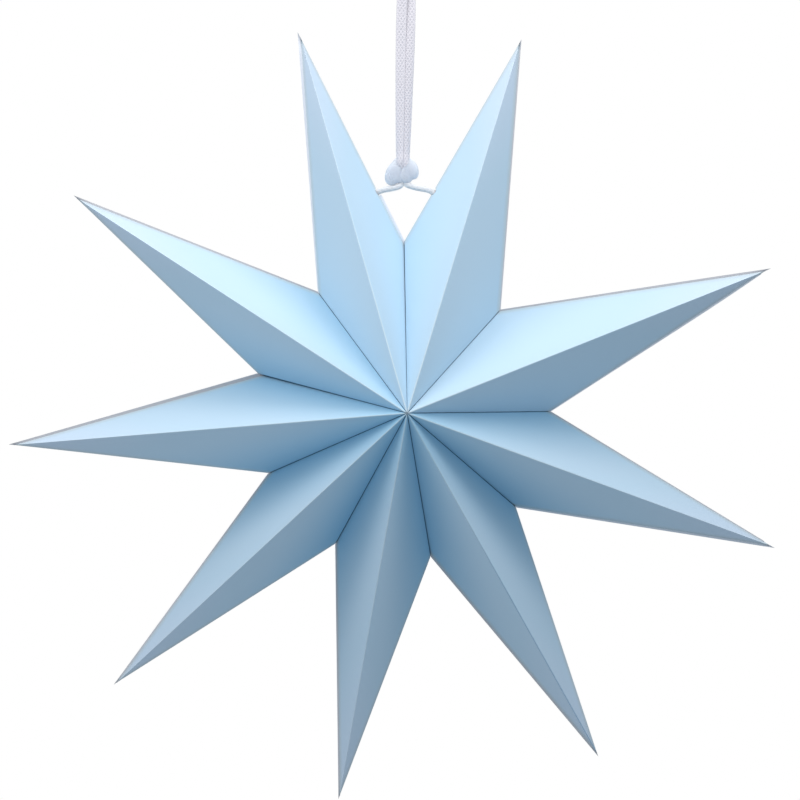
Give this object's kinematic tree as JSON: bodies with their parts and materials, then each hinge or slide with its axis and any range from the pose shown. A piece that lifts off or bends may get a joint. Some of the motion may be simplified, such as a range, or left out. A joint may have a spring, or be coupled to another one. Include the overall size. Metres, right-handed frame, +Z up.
{
  "type": "paper star",
  "caption": "Large hanging star of pale blue folded card, with hollow creased points glued side by side and a tied woven ribbon loop to hang it by.",
  "frame": {"origin": "the inside top of the ribbon's loop, where a hook carries the star", "axes": "+Z up along the hang line, -Y out of the star's front, +X to the right as seen from the front"},
  "size_m": [0.4368, 0.1554, 0.4826],
  "materials": {
    "blue_card": "matte uncoated card",
    "ribbon": "woven satin-edged ribbon"
  },
  "bodies": {
    "root": {"point_1": "blue_card", "point_2": "blue_card", "point_3": "blue_card", "point_4": "blue_card", "point_5": "blue_card", "point_6": "blue_card", "point_7": "blue_card", "point_8": "blue_card", "point_9": "blue_card", "ribbon_loop": "ribbon", "left_leg": "ribbon", "right_leg": "ribbon", "ribbon_knot": "ribbon", "left_stop_knot": "ribbon", "right_stop_knot": "ribbon"}
  },
  "joints": []
}
